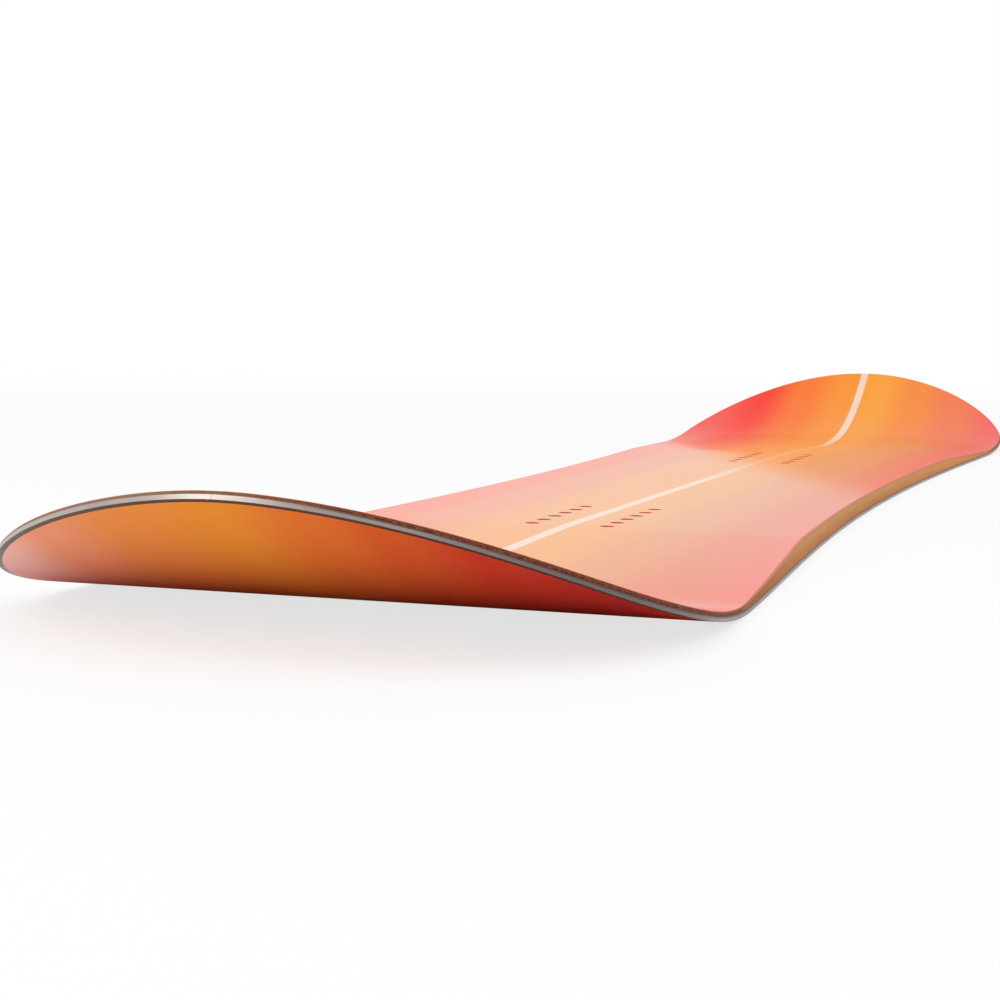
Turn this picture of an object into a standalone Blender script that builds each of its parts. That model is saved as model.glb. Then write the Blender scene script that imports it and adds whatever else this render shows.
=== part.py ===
"""A snowboard laid up from the pieces of a real one: metres, +Z up, nose towards +X.

Every layer is first modelled flat, as it lies on the bench, in stations measured along the base
from the tail end. The press then bends all layers together: it lifts the tips and squeezes the
core down to the thin tip spacers, so that whatever lies flat on its neighbour still does.
"""
import math

import bmesh
import bpy
from mathutils import Matrix, Vector

# Outline, seen from above
BOARD_LENGTH = 1.470
TAIL_WIDTH = 0.278
WAIST_WIDTH = 0.240
NOSE_WIDTH = 0.289
TAIL_WIDEST = 0.154
NOSE_WIDEST = 0.169
WAIST_STATION = 0.674

# Reach of the outline's handles, across the ends and along the sides
TAIL_END_HANDLE = 0.043
TAIL_SHOULDER_HANDLE = 0.120
NOSE_END_HANDLE = 0.0745
NOSE_SHOULDER_HANDLE = 0.099
SIDECUT_END_HANDLE = 0.106
TAIL_WAIST_HANDLE = 0.243
NOSE_WAIST_HANDLE = 0.326

# Rise of the tips, from the contact points outwards: a slow arc and then a tighter one
TAIL_CONTACT = 0.213
TAIL_SLOW_ARC = 0.112
TAIL_SLOW_RADIUS = 0.446
TAIL_TIGHT_RADIUS = 0.288
NOSE_CONTACT = 0.268
NOSE_SLOW_ARC = 0.076
NOSE_SLOW_RADIUS = 1.250
NOSE_TIGHT_RADIUS = 0.395

# Layers, from the snow up
GLUE_LINE = 0.0001
BASE_THICKNESS = 0.0012
TAB_THICKNESS = 0.0003
FOIL_THICKNESS = 0.0002
LOWER_GLASS_THICKNESS = 0.0004
CORE_THICKNESS = 0.0052
SPACER_THICKNESS = 0.0005
UPPER_GLASS_THICKNESS = 0.00035
TOPSHEET_THICKNESS = 0.00035

# Widths round the rim
EDGE_WIDTH = 0.002
TAB_REACH = 0.006
TAB_LENGTH = 0.024
TAB_PITCH = 0.040
FOIL_OVERHANG = 0.002
SIDEWALL_WIDTH = 0.008
BEVEL_ANGLE = math.radians(34)

# Core: it reaches a little past each contact point, and is full where the inserts are
CORE_PAST_CONTACT = 0.020
FULL_PAST_INSERTS = 0.010
OUTER_STRIP_LEAST = 0.012

# Inserts: two packs, each of two rows
STANCE_CENTRE = 0.724
STANCE_WIDTH = 0.500
ROW_SPACING = 0.040
INSERT_PITCH = 0.020
INSERTS_IN_ROW = 6
INSERT_BORE = 0.006
BARREL_DIAMETER = 0.0095
FLANGE_DIAMETER = 0.016
FLANGE_THICKNESS = 0.0008
TOPSHEET_HOLE = 0.0068

# Fineness of the curves
TIP_SEGMENTS = 14
SIDE_SEGMENTS = 6
BEND_STEP = math.radians(2.8)
INSERT_SIDES = 10
HOLE_SIDES = 12
WELD = 1e-6
CUTTER_OVERRUN = 0.002

# Heights in the flat lay-up
BASE_TOP = BASE_THICKNESS
TAB_LOW = BASE_TOP + GLUE_LINE
FOIL_LOW = TAB_LOW + TAB_THICKNESS + GLUE_LINE
EDGE_TOP = FOIL_LOW + FOIL_THICKNESS
LOWER_GLASS_LOW = EDGE_TOP + GLUE_LINE
LOWER_GLASS_TOP = LOWER_GLASS_LOW + LOWER_GLASS_THICKNESS
CORE_LOW = LOWER_GLASS_TOP + GLUE_LINE
CORE_TOP = CORE_LOW + CORE_THICKNESS
UPPER_GLASS_LOW = CORE_TOP + GLUE_LINE
UPPER_GLASS_TOP = UPPER_GLASS_LOW + UPPER_GLASS_THICKNESS
TOPSHEET_LOW = UPPER_GLASS_TOP + GLUE_LINE
TOPSHEET_TOP = TOPSHEET_LOW + TOPSHEET_THICKNESS

# Insets from the rim of the board
BASE_INSET = EDGE_WIDTH + GLUE_LINE
FOIL_INNER = BASE_INSET + TAB_REACH + FOIL_OVERHANG
CORE_INSET = SIDEWALL_WIDTH + GLUE_LINE

# Stations of the nose's contact point, of the core's ends and of its full thickness
NOSE_START = BOARD_LENGTH - NOSE_CONTACT
PACK_HALF = INSERT_PITCH * (INSERTS_IN_ROW - 1) / 2
TAIL_PACK = STANCE_CENTRE - STANCE_WIDTH / 2
NOSE_PACK = STANCE_CENTRE + STANCE_WIDTH / 2
TAIL_JOINT = TAIL_CONTACT - CORE_PAST_CONTACT
NOSE_JOINT = NOSE_START + CORE_PAST_CONTACT
TAIL_FULL = TAIL_PACK - PACK_HALF - FULL_PAST_INSERTS
NOSE_FULL = NOSE_PACK + PACK_HALF + FULL_PAST_INSERTS

# The insert rows run along the middle of a core strip
STRIP_WIDTH = ROW_SPACING / 2
STRIPS_EACH_SIDE = int((WAIST_WIDTH / 2 - CORE_INSET - OUTER_STRIP_LEAST) / STRIP_WIDTH - 0.5) + 1


def clear_scene():
    for old in list(bpy.data.objects):
        bpy.data.objects.remove(old, do_unlink=True)


def bezier(knots, share):
    """Point and direction on a cubic curve, by drawing its handles together."""
    a, b, c, d = (Vector(knot) for knot in knots)
    ab, bc, cd = a.lerp(b, share), b.lerp(c, share), c.lerp(d, share)
    start, end = ab.lerp(bc, share), bc.lerp(cd, share)
    return start.lerp(end, share), (end - start).normalized()


def left_outline():
    """Rim of the left half, tail end to nose end, each point with its inward direction."""
    tail, waist, nose = TAIL_WIDTH / 2, WAIST_WIDTH / 2, NOSE_WIDTH / 2
    shoulder = BOARD_LENGTH - NOSE_WIDEST
    curves = [
        ((0, 0), (0, TAIL_END_HANDLE),
         (TAIL_WIDEST - TAIL_SHOULDER_HANDLE, tail), (TAIL_WIDEST, tail)),
        ((TAIL_WIDEST, tail), (TAIL_WIDEST + SIDECUT_END_HANDLE, tail),
         (WAIST_STATION - TAIL_WAIST_HANDLE, waist), (WAIST_STATION, waist)),
        ((WAIST_STATION, waist), (WAIST_STATION + NOSE_WAIST_HANDLE, waist),
         (shoulder - SIDECUT_END_HANDLE, nose), (shoulder, nose)),
        ((shoulder, nose), (shoulder + NOSE_SHOULDER_HANDLE, nose),
         (BOARD_LENGTH, NOSE_END_HANDLE), (BOARD_LENGTH, 0)),
    ]
    rim = []
    for knots, segments in zip(curves, (TIP_SEGMENTS, SIDE_SEGMENTS, SIDE_SEGMENTS, TIP_SEGMENTS)):
        for step in range(segments):
            point, along = bezier(knots, step / segments)
            rim.append((point, Vector((along.y, -along.x))))
    rim.append((Vector((BOARD_LENGTH, 0)), Vector((-1, 0))))
    return rim


def whole_outline():
    """The left rim, and back along the right."""
    left = left_outline()
    flip = Vector((1, -1))
    right = [(point * flip, inward * flip) for point, inward in left[-2:0:-1]]
    return left + right


def tip_bend(contact, slow_arc, slow_radius, tight_radius):
    """Distance past the contact point, run and rise of the base, at each step of a tip's bend."""
    steps = [(0.0, 0.0, 0.0)]
    slope = 0.0
    for arc, radius in ((slow_arc, slow_radius), (contact - slow_arc, tight_radius)):
        distance, run, rise = steps[-1]
        count = max(2, math.ceil(arc / radius / BEND_STEP))
        for number in range(1, count + 1):
            turned = slope + arc / radius * number / count
            steps.append((distance + arc * number / count,
                          run + radius * (math.sin(turned) - math.sin(slope)),
                          rise + radius * (math.cos(slope) - math.cos(turned))))
        slope += arc / radius
    return steps


class Press:
    """Carries a point of the flat lay-up to its place in the finished board.

    The base line is a chain of short straight bands. Heights are laid off square to each band,
    with a mitre where two bands meet, so every layer keeps its thickness and its glue line.
    """

    def __init__(self):
        line = {}
        for distance, run, rise in tip_bend(TAIL_CONTACT, TAIL_SLOW_ARC,
                                            TAIL_SLOW_RADIUS, TAIL_TIGHT_RADIUS):
            line[TAIL_CONTACT - distance] = Vector((TAIL_CONTACT - run, rise))
        for distance, run, rise in tip_bend(NOSE_CONTACT, NOSE_SLOW_ARC,
                                            NOSE_SLOW_RADIUS, NOSE_TIGHT_RADIUS):
            line[NOSE_START + distance] = Vector((NOSE_START + run, rise))
        self.stations = sorted(line)
        middle = (line[self.stations[0]].x + line[self.stations[-1]].x) / 2
        self.line = [line[station] - Vector((middle, 0)) for station in self.stations]
        for station in (TAIL_JOINT, TAIL_FULL, NOSE_FULL, NOSE_JOINT):
            self.add_station(station)
        normals = [Vector((-(end - start).y, (end - start).x)).normalized()
                   for start, end in zip(self.line, self.line[1:])]
        self.mitres = [(before + after) / (1 + before.dot(after))
                       for before, after in zip(normals[:1] + normals, normals + normals[-1:])]

    def add_station(self, station):
        """A station where the core's taper starts or ends, set on the band that it falls in."""
        band, share = self.band(station)
        if min(station - self.stations[band], self.stations[band + 1] - station) > GLUE_LINE:
            self.line.insert(band + 1, self.line[band].lerp(self.line[band + 1], share))
            self.stations.insert(band + 1, station)

    def band(self, station):
        """The band that a station is in, and how far along it."""
        band = 0
        while band < len(self.stations) - 2 and station > self.stations[band + 1]:
            band += 1
        start, end = self.stations[band], self.stations[band + 1]
        return band, (station - start) / (end - start)

    def place(self, flat):
        band, share = self.band(flat.x)
        foot = self.line[band].lerp(self.line[band + 1], share)
        up = self.mitres[band].lerp(self.mitres[band + 1], share)
        point = foot + up * pressed_height(flat.x, flat.z)
        return Vector((point.x, flat.y, point.y))


def core_layer(station):
    """Thickness of the core's layer: full between the packs, planed down to the tip spacers."""
    tail_share = (station - TAIL_JOINT) / (TAIL_FULL - TAIL_JOINT)
    nose_share = (NOSE_JOINT - station) / (NOSE_JOINT - NOSE_FULL)
    share = min(max(min(tail_share, nose_share), 0), 1)
    return SPACER_THICKNESS + share * (CORE_THICKNESS - SPACER_THICKNESS)


def pressed_height(station, height):
    """Height of a point above the base once the core's layer is squeezed at its station."""
    squeezed = core_layer(station)
    if height <= CORE_LOW:
        return height
    if height >= CORE_TOP:
        return height - CORE_THICKNESS + squeezed
    return CORE_LOW + (height - CORE_LOW) * squeezed / CORE_THICKNESS


def bevel(station, height):
    """Inset of the ground side of the board, which leans in from the foot of the sidewall."""
    return (pressed_height(station, height) - CORE_LOW) * math.tan(BEVEL_ANGLE)


OUTLINE = whole_outline()
PRESS = Press()


def sweep(section, closed):
    """Carries a section, corners of inset and height, all round the outline of the flat board.

    An open section leaves two rings, which are capped. A closed one makes a band round the rim.
    """
    piece = bmesh.new()
    mark = piece.verts.layers.int.new("sample")
    ring = []
    for number in range(len(OUTLINE)):
        corner = piece.verts.new((0, 0, 0))
        corner[mark] = number
        ring.append(corner)
    rim = [piece.edges.new((ring[number - 1], ring[number])) for number in range(len(ring))]
    caps = [rim]
    for number, (inset, height) in enumerate(section + section[:1] if closed else section):
        if number > 0:
            grown = bmesh.ops.extrude_edge_only(piece, edges=rim)["geom"]
            ring = [item for item in grown if isinstance(item, bmesh.types.BMVert)]
            new = set(ring)
            rim = [item for item in grown
                   if isinstance(item, bmesh.types.BMEdge) and set(item.verts) <= new]
        for corner in ring:
            point, inward = OUTLINE[corner[mark]]
            drawn_in = inset(point.x, height) if callable(inset) else inset
            spot = point + inward * drawn_in
            corner.co = (spot.x, spot.y, height)
    caps.append(rim)
    if closed:
        bmesh.ops.remove_doubles(piece, verts=piece.verts, dist=WELD)
    else:
        for cap in caps:
            bmesh.ops.contextual_create(piece, geom=cap)
    bmesh.ops.recalc_face_normals(piece, faces=piece.faces)
    return piece


def slab(low, high, low_inset, high_inset):
    """One layer of the board: flat below and above, out to an inset at each height."""
    return sweep([(low_inset, low), (high_inset, high)], closed=False)


def cut(piece, point, normal):
    """Takes away what lies on the side that the normal points to, and closes the cut."""
    everything = piece.verts[:] + piece.edges[:] + piece.faces[:]
    bmesh.ops.bisect_plane(piece, geom=everything, dist=WELD, plane_co=point, plane_no=normal,
                           clear_outer=True)
    rim = [edge for edge in piece.edges if edge.is_boundary]
    bmesh.ops.holes_fill(piece, edges=rim, sides=0)
    return piece


def keep_stations(piece, start, end):
    if start is not None:
        cut(piece, (start, 0, 0), (-1, 0, 0))
    if end is not None:
        cut(piece, (end, 0, 0), (1, 0, 0))
    return piece


def keep_side(piece, side):
    """Keeps the left (1) or right (-1) half, short of the middle by half a glue line."""
    return cut(piece, (0, side * GLUE_LINE / 2, 0), (0, -side, 0))


def material(name, colour, roughness, metallic=0.0):
    finish = bpy.data.materials.new(name)
    finish.use_nodes = True
    shader = finish.node_tree.nodes["Principled BSDF"]
    shader.inputs["Base Color"].default_value = (*colour, 1)
    shader.inputs["Roughness"].default_value = roughness
    shader.inputs["Metallic"].default_value = metallic
    finish.diffuse_color = (*colour, 1)
    return finish


def add_piece(name, mesh, finish, collection, parent):
    """Names a mesh as one piece of the board and hangs it on the board's empty."""
    piece = bpy.data.objects.new(name, mesh)
    mesh.name = name
    mesh.materials.clear()
    mesh.materials.append(finish)
    mesh.shade_smooth()
    mesh.set_sharp_from_angle(angle=math.radians(30))
    collection.objects.link(piece)
    piece.parent = parent
    return piece


def pressed(piece):
    """Scores a flat piece at every station and bends it in the press."""
    for station in PRESS.stations[1:-1]:
        everything = piece.verts[:] + piece.edges[:] + piece.faces[:]
        bmesh.ops.bisect_plane(piece, geom=everything, dist=WELD,
                               plane_co=(station, 0, 0), plane_no=(1, 0, 0))
    for corner in piece.verts:
        corner.co = PRESS.place(corner.co)
    bmesh.ops.recalc_face_normals(piece, faces=piece.faces)
    mesh = bpy.data.meshes.new("pressed")
    piece.to_mesh(mesh)
    piece.free()
    return mesh


def evaluated_mesh(item):
    """The mesh of an object with its modifiers applied."""
    bpy.context.view_layer.update()
    depsgraph = bpy.context.evaluated_depsgraph_get()
    return bpy.data.meshes.new_from_object(item.evaluated_get(depsgraph))


def fused(piece, other):
    """Union of two flat pieces."""
    items = []
    for part in (piece, other):
        mesh = bpy.data.meshes.new("flat")
        part.to_mesh(mesh)
        part.free()
        items.append(bpy.data.objects.new("flat", mesh))
        bpy.context.scene.collection.objects.link(items[-1])
    union = items[0].modifiers.new("union", "BOOLEAN")
    union.operation = "UNION"
    union.object = items[1]
    mesh = evaluated_mesh(items[0])
    for item in items:
        bpy.data.objects.remove(item, do_unlink=True)
    whole = bmesh.new()
    whole.from_mesh(mesh)
    bpy.data.meshes.remove(mesh)
    return whole


def mirrored(piece):
    """A copy of a left piece for the right side."""
    twin = piece.copy()
    bmesh.ops.scale(twin, vec=(1, -1, 1), verts=twin.verts)
    bmesh.ops.reverse_faces(twin, faces=twin.faces)
    return twin


def walk_left(pitch):
    """Evenly spaced places along the left rim, each with its inward direction."""
    rim = [point for point, inward in left_outline()]
    lengths = [(end - start).length for start, end in zip(rim, rim[1:])]
    count = int(sum(lengths) / pitch)
    target = (sum(lengths) - (count - 1) * pitch) / 2
    passed = 0.0
    for start, end, length in zip(rim, rim[1:], lengths):
        while target <= passed + length and count > 0:
            along = (end - start).normalized()
            yield start + along * (target - passed), Vector((along.y, -along.x))
            target += pitch
            count -= 1
        passed += length


def edge_tabs():
    """Anchor tabs of the left edge: blocks from inside the bar to over the base."""
    tabs = bmesh.new()
    root = EDGE_WIDTH / 2
    reach = EDGE_WIDTH + TAB_REACH
    for point, inward in walk_left(TAB_PITCH):
        middle = point + inward * (root + reach) / 2
        turn = math.atan2(inward.y, inward.x)
        bmesh.ops.create_cube(tabs, size=1, matrix=(
            Matrix.Translation((middle.x, middle.y, TAB_LOW + TAB_THICKNESS / 2))
            @ Matrix.Rotation(turn, 4, "Z")
            @ Matrix.Diagonal((reach - root, TAB_LENGTH, TAB_THICKNESS, 1))))
    return tabs


def rim_band(outer, inner, low, high):
    """A square-cornered band round the rim, between two insets and two heights."""
    return sweep([(outer, low), (outer, high), (inner, high), (inner, low)], closed=True)


def flat_steel_edge():
    bar = keep_side(rim_band(0, EDGE_WIDTH, 0, EDGE_TOP), 1)
    return fused(bar, edge_tabs())


def flat_rubber_foil():
    return keep_side(rim_band(BASE_INSET, FOIL_INNER, FOIL_LOW, EDGE_TOP), 1)


def flat_sidewall():
    """Plastic wall between the two glass layers, ground to a bevel on its outer side."""
    wall = sweep([(0, CORE_LOW), (bevel, CORE_TOP),
                  (SIDEWALL_WIDTH, CORE_TOP), (SIDEWALL_WIDTH, CORE_LOW)], closed=True)
    keep_stations(wall, TAIL_JOINT + GLUE_LINE / 2, NOSE_JOINT - GLUE_LINE / 2)
    return keep_side(wall, 1)


def flat_spacer(start, end):
    """Plastic plate that takes the core's place in a tip."""
    return keep_stations(slab(CORE_LOW, CORE_TOP, 0, bevel), start, end)


def flat_lower_glass():
    """Glass cloth that lies on the base, and steps up over the tabs and the bar of the edges."""
    step = FOIL_INNER + GLUE_LINE
    return sweep([(step, TAB_LOW), (step, LOWER_GLASS_LOW), (0, LOWER_GLASS_LOW),
                  (0, LOWER_GLASS_TOP)], closed=False)


def flat_core_strip(number):
    """One lengthwise strip of the wood core, counted from the middle one to the left."""
    strip = slab(CORE_LOW, CORE_TOP, CORE_INSET, CORE_INSET)
    keep_stations(strip, TAIL_JOINT + GLUE_LINE / 2, NOSE_JOINT - GLUE_LINE / 2)
    half = (STRIP_WIDTH - GLUE_LINE) / 2
    if number > -STRIPS_EACH_SIDE:
        cut(strip, (0, number * STRIP_WIDTH - half, 0), (0, -1, 0))
    if number < STRIPS_EACH_SIDE:
        cut(strip, (0, number * STRIP_WIDTH + half, 0), (0, 1, 0))
    return strip


def turned(profile, sides):
    """A round solid from its outline, given as radii and heights and run down its outer side."""
    mesh = bpy.data.meshes.new("turned")
    points = [(radius, 0, height) for radius, height in profile]
    mesh.from_pydata(points, [(number, number + 1) for number in range(len(points) - 1)], [])
    item = bpy.data.objects.new("turned", mesh)
    bpy.context.scene.collection.objects.link(item)
    screw = item.modifiers.new("turn", "SCREW")
    screw.steps = sides
    screw.render_steps = sides
    screw.use_merge_vertices = True
    screw.merge_threshold = WELD
    solid = evaluated_mesh(item)
    bpy.data.objects.remove(item, do_unlink=True)
    return solid


def insert_solid():
    """Threaded insert: a flange under the core and a blind barrel up to the topsheet."""
    barrel, flange, bore = BARREL_DIAMETER / 2, FLANGE_DIAMETER / 2, INSERT_BORE / 2
    height = UPPER_GLASS_TOP - CORE_LOW
    return turned([(0, FLANGE_THICKNESS), (bore, FLANGE_THICKNESS), (bore, height),
                   (barrel, height), (barrel, FLANGE_THICKNESS), (flange, FLANGE_THICKNESS),
                   (flange, 0), (0, 0)], INSERT_SIDES)


def insert_room():
    """What an insert takes out of the core and the upper glass, with its clearance."""
    barrel, flange = BARREL_DIAMETER / 2 + GLUE_LINE, FLANGE_DIAMETER / 2 + GLUE_LINE
    top = UPPER_GLASS_TOP - CORE_LOW + CUTTER_OVERRUN
    shoulder = FLANGE_THICKNESS + GLUE_LINE
    return turned([(0, top), (barrel, top), (barrel, shoulder), (flange, shoulder),
                   (flange, -CUTTER_OVERRUN), (0, -CUTTER_OVERRUN)], INSERT_SIDES)


def topsheet_hole():
    top = TOPSHEET_TOP - CORE_LOW + CUTTER_OVERRUN
    low = UPPER_GLASS_TOP - CORE_LOW - CUTTER_OVERRUN
    radius = TOPSHEET_HOLE / 2
    return turned([(0, top), (radius, top), (radius, low), (0, low)], HOLE_SIDES)


def insert_places():
    """Name and place of every insert, its foot on the lower glass."""
    for pack, station in (("tail", TAIL_PACK), ("nose", NOSE_PACK)):
        for side, sign in (("left", 1), ("right", -1)):
            for number in range(INSERTS_IN_ROW):
                flat = Vector((station - PACK_HALF + number * INSERT_PITCH,
                               sign * ROW_SPACING / 2, CORE_LOW))
                yield f"insert_{pack}_{side}_{number + 1}", PRESS.place(flat)


def add_cutters(name, mesh, cutters):
    """One copy of a cutter at every insert, in a collection of their own."""
    group = bpy.data.collections.new(name)
    cutters.children.link(group)
    for place_name, place in insert_places():
        cutter = bpy.data.objects.new(f"{name}_{place_name}", mesh)
        cutter.location = place
        cutter.hide_render = True
        cutter.display_type = "WIRE"
        group.objects.link(cutter)
    return group


def drill(piece, cutters):
    holes = piece.modifiers.new("insert holes", "BOOLEAN")
    holes.operation = "DIFFERENCE"
    holes.operand_type = "COLLECTION"
    holes.collection = cutters


def build():
    clear_scene()
    board = bpy.data.collections.new("snowboard")
    cutters = bpy.data.collections.new("cutters")
    for collection in (board, cutters):
        bpy.context.scene.collection.children.link(collection)
    origin = bpy.data.objects.new("snowboard_origin", None)
    board.objects.link(origin)

    base = material("sintered base", (0.80, 0.26, 0.16), 0.30)
    steel = material("edge steel", (0.62, 0.60, 0.58), 0.30, 1.0)
    rubber = material("rubber foil", (0.05, 0.05, 0.05), 0.80)
    glass = material("glass laminate", (0.62, 0.60, 0.48), 0.45)
    light_wood = material("poplar", (0.78, 0.63, 0.43), 0.65)
    dark_wood = material("beech", (0.60, 0.40, 0.24), 0.65)
    plastic = material("sidewall plastic", (0.62, 0.40, 0.24), 0.40)
    zinc = material("insert steel", (0.55, 0.53, 0.50), 0.35, 1.0)
    print_sheet = material("printed topsheet", (0.93, 0.45, 0.33), 0.20)

    def add(name, mesh, finish):
        return add_piece(name, mesh, finish, board, origin)

    add("base_sheet", pressed(slab(0, BASE_TOP, BASE_INSET, BASE_INSET)), base)
    for kind, flat_left, finish in (("steel_edge", flat_steel_edge(), steel),
                                    ("rubber_foil", flat_rubber_foil(), rubber),
                                    ("sidewall", flat_sidewall(), plastic)):
        add(f"{kind}_right", pressed(mirrored(flat_left)), finish)
        add(f"{kind}_left", pressed(flat_left), finish)
    add("lower_fibreglass", pressed(flat_lower_glass()), glass)
    add("tail_spacer", pressed(flat_spacer(None, TAIL_JOINT - GLUE_LINE / 2)), plastic)
    add("nose_spacer", pressed(flat_spacer(NOSE_JOINT + GLUE_LINE / 2, None)), plastic)

    room = add_cutters("insert_room", insert_room(), cutters)
    for number in range(-STRIPS_EACH_SIDE, STRIPS_EACH_SIDE + 1):
        side = "centre" if number == 0 else f"{'left' if number > 0 else 'right'}_{abs(number)}"
        finish = dark_wood if number % 2 else light_wood
        drill(add(f"core_strip_{side}", pressed(flat_core_strip(number)), finish), room)

    insert = insert_solid()
    for name, place in insert_places():
        add(name, insert, zinc).location = place

    upper_glass = slab(UPPER_GLASS_LOW, UPPER_GLASS_TOP, bevel, bevel)
    drill(add("upper_fibreglass", pressed(upper_glass), glass), room)
    holes = add_cutters("topsheet_hole", topsheet_hole(), cutters)
    topsheet = slab(TOPSHEET_LOW, TOPSHEET_TOP, bevel, bevel)
    drill(add("topsheet", pressed(topsheet), print_sheet), holes)


build()
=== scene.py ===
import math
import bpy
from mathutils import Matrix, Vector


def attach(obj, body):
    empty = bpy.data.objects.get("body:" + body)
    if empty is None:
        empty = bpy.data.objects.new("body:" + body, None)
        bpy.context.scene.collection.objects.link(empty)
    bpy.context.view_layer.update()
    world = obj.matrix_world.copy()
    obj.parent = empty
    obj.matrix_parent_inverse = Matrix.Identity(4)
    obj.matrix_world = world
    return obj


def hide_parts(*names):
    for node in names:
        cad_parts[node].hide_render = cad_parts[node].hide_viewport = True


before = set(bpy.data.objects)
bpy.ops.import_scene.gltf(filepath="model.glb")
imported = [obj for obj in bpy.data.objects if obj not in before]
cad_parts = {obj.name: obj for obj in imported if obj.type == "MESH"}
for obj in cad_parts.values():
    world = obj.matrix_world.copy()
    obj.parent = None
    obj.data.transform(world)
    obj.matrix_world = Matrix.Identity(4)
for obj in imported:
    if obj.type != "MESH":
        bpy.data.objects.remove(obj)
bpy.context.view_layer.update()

# %% [markdown]
# A snowboard is a glued laminate: a running base inside two steel edges, glass cloth, a wood core
# with plastic at its sides and tips, more glass cloth, and a printed topsheet. The loaded model
# already has every layer, bent in short straight steps. Each layer that shows is made again here
# with smooth bends. The way is that of the workshop: cut the layer flat, then close the press.

# %% [markdown]
# All sizes are real ones in metres, and heights count from the snow. A station is a distance along
# the base from the tail end, measured before the tips are bent up. Only sizes that many steps share
# stand here. The others come with the step that needs them first.

# %% Lengths and layers
millimetre = 0.001
merge_distance = 1e-6
board_length = 1.470
tail_contact, nose_contact = 0.213, 0.268
flat_start, flat_end = tail_contact, board_length - nose_contact
glue_line = 0.0001
base_top = 0.0012
edge_width, edge_top = 0.002, 0.0019
tab_low, tab_top = 0.0013, 0.0016
lower_glass_low, lower_glass_top = 0.0020, 0.0024
core_low, core_top = 0.0025, 0.0077
upper_glass_low, upper_glass_top = 0.0078, 0.00815
topsheet_low, topsheet_top = 0.00825, 0.0086
print("full thickness between the tips:", topsheet_top / millimetre, "mm")

# %% [markdown]
# Operators work on whatever is selected, and loading leaves the model selected. These helpers keep
# every step on one piece: they add it or pick it alone, and they pick corners, edges or faces of it
# in code, which takes the place of clicking on them.

# %% Picking pieces and their parts
def add(primitive, **settings):
    """Adds a primitive with nothing else selected, and gives it back."""
    bpy.ops.object.select_all(action="DESELECT")
    primitive(**settings)
    return bpy.context.object


def pick(*pieces):
    if bpy.context.object and bpy.context.object.mode == "EDIT":
        bpy.ops.object.mode_set(mode="OBJECT")
    bpy.ops.object.select_all(action="DESELECT")
    for piece in pieces:
        piece.select_set(True)
    bpy.context.view_layer.objects.active = pieces[0]


def pick_parts(piece, kind, wanted):
    """Opens a piece in edit mode with only the wanted corners, edges or faces selected."""
    pick(piece)
    bpy.ops.object.mode_set(mode="EDIT")
    bpy.ops.mesh.select_mode(type=kind)
    bpy.ops.mesh.select_all(action="DESELECT")
    bpy.ops.object.mode_set(mode="OBJECT")
    mesh = piece.data
    for part in {"VERT": mesh.vertices, "EDGE": mesh.edges, "FACE": mesh.polygons}[kind]:
        part.select = wanted(part)
    bpy.ops.object.mode_set(mode="EDIT")


def pick_corners(piece, wanted):
    pick_parts(piece, "VERT", lambda corner: wanted(corner.co))


def close_edit():
    bpy.ops.object.mode_set(mode="OBJECT")


def copy_of(piece, name):
    pick(piece)
    bpy.ops.object.duplicate()
    twin = bpy.context.object
    twin.name = name
    return twin


def apply(piece, modifier):
    pick(piece)
    bpy.ops.object.modifier_apply(modifier=modifier.name)


# %% [markdown]
# Seen from above the board is one closed curve: wide at both shoulders, narrow at the waist. It
# could be drawn point by point as a mesh, but a curve needs only eight knots to stay smooth. A
# Bezier circle gives four to start from, and subdividing it gives the eight. The right side mirrors
# the left one.

# %% The outline as a curve
tail_half, waist_half, nose_half = 0.139, 0.120, 0.1445
tail_widest, waist_station, nose_widest = 0.154, 0.674, board_length - 0.169

outline = add(bpy.ops.curve.primitive_bezier_circle_add, radius=board_length / 2,
              location=(0, 0, 0))
outline.name = "outline"
bpy.ops.object.mode_set(mode="EDIT")
bpy.ops.curve.select_all(action="SELECT")
bpy.ops.curve.subdivide(number_cuts=1)
bpy.ops.object.mode_set(mode="OBJECT")

# Smooth bends reach a few thousandths of a millimetre further than straight steps
trim = 0.000005
tail_end, nose_end = trim, board_length - trim

# How far the handles of both ends reach across the board
tail_roundness, nose_roundness = 0.043, 0.0745

# Station and half width, and how far the handles reach towards the tail and the nose
side_knots = [(tail_widest, tail_half, 0.120, 0.106),
              (waist_station, waist_half, 0.243, 0.326),
              (nose_widest, nose_half, 0.106, 0.099)]

# %% [markdown]
# Each knot gets its place and its two handles. At both ends of the board the handles lie across it,
# so that the curve rounds the tip, and at the sides they lie along it. The finished curve is made a
# mesh, because layers are extruded from corners.

# %% Knots of the outline
knots = [((tail_end, 0), (tail_end, -tail_roundness), (tail_end, tail_roundness))]
knots += [((x, y), (x - behind, y), (x + ahead, y)) for x, y, behind, ahead in side_knots]
knots += [((nose_end, 0), (nose_end, nose_roundness), (nose_end, -nose_roundness))]
knots += [((x, -y), (x + ahead, -y), (x - behind, -y))
          for x, y, behind, ahead in reversed(side_knots)]
for knot, (place, back, on) in zip(outline.data.splines[0].bezier_points, knots):
    knot.handle_left_type = knot.handle_right_type = "FREE"
    knot.co = (*place, 0)
    knot.handle_left = (*back, 0)
    knot.handle_right = (*on, 0)
outline.data.resolution_u = 48
pick(outline)
bpy.ops.object.convert(target="MESH")
outline = bpy.context.object
print("outline corners:", len(outline.data.vertices))

# %% [markdown]
# In the press the base follows two arcs at each tip. This curve is the line that the underside
# takes. Its handles come from the arcs: an arc that turns by an angle has handles 4/3 tan(angle/4)
# of its radius long. So the line stays within a few thousandths of a millimetre of true arcs.

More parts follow.
